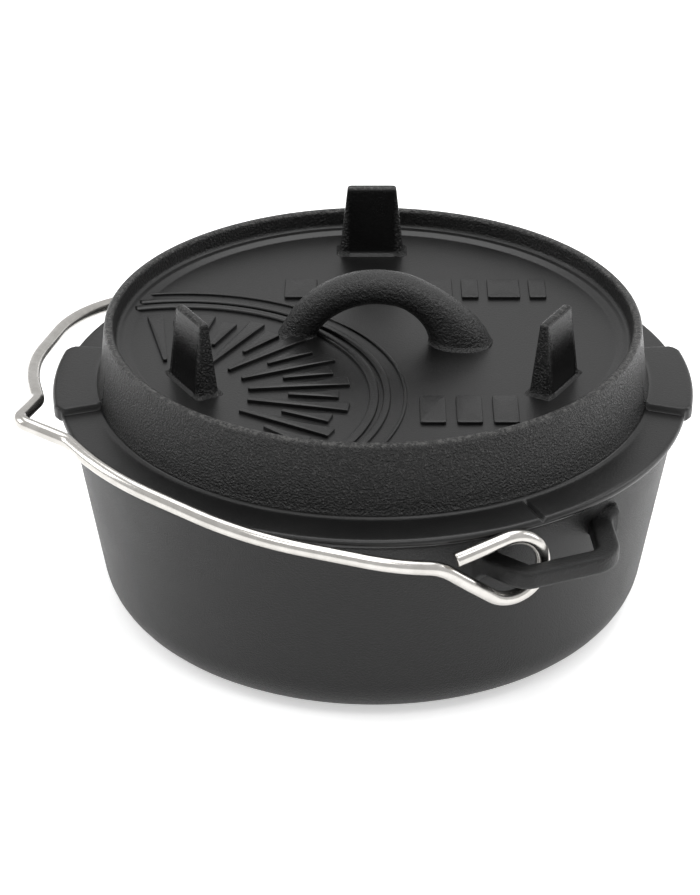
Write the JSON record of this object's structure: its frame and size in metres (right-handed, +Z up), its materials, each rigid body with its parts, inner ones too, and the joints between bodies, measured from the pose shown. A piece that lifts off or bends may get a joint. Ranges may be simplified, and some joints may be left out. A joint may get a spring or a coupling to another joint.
{
  "type": "cast iron dutch oven",
  "caption": "Round cast iron pot with a flat base, a lid that flips over to serve as a footed pan, and a swinging wire bail.",
  "frame": {"origin": "centre of the pot's flat base, on the surface it stands on", "axes": "+Z up along the pot's axis; +X through the middle of one of the lid's two tabs, so the tabs are at +X and -X; the bail's pivot axis runs through the two lugs, 67 degrees clockwise of +X and opposite"},
  "size_m": [0.23, 0.2275, 0.1216],
  "materials": {
    "pot_iron": "seasoned black casting, fine satin grain",
    "lid_iron": "seasoned black casting, pebbled sides and a smoother top, worn bright on the rim",
    "bail_wire": "bright drawn steel wire, satin"
  },
  "bodies": {
    "pot": {"pot": "pot_iron"},
    "lid": {"lid": "lid_iron"},
    "bail": {"bail": "bail_wire"}
  },
  "joints": [
    {"name": "lid_lift", "type": "slide", "parent": "pot", "child": "lid", "axis": [0, 0, 1], "range_m": [0, 0.15]},
    {"name": "bail_swing", "type": "hinge", "parent": "pot", "child": "bail", "pos_m": [0, 0, 0.065], "axis": [-0.3907, 0.9205, 0], "range_deg": [0, 158]}
  ]
}
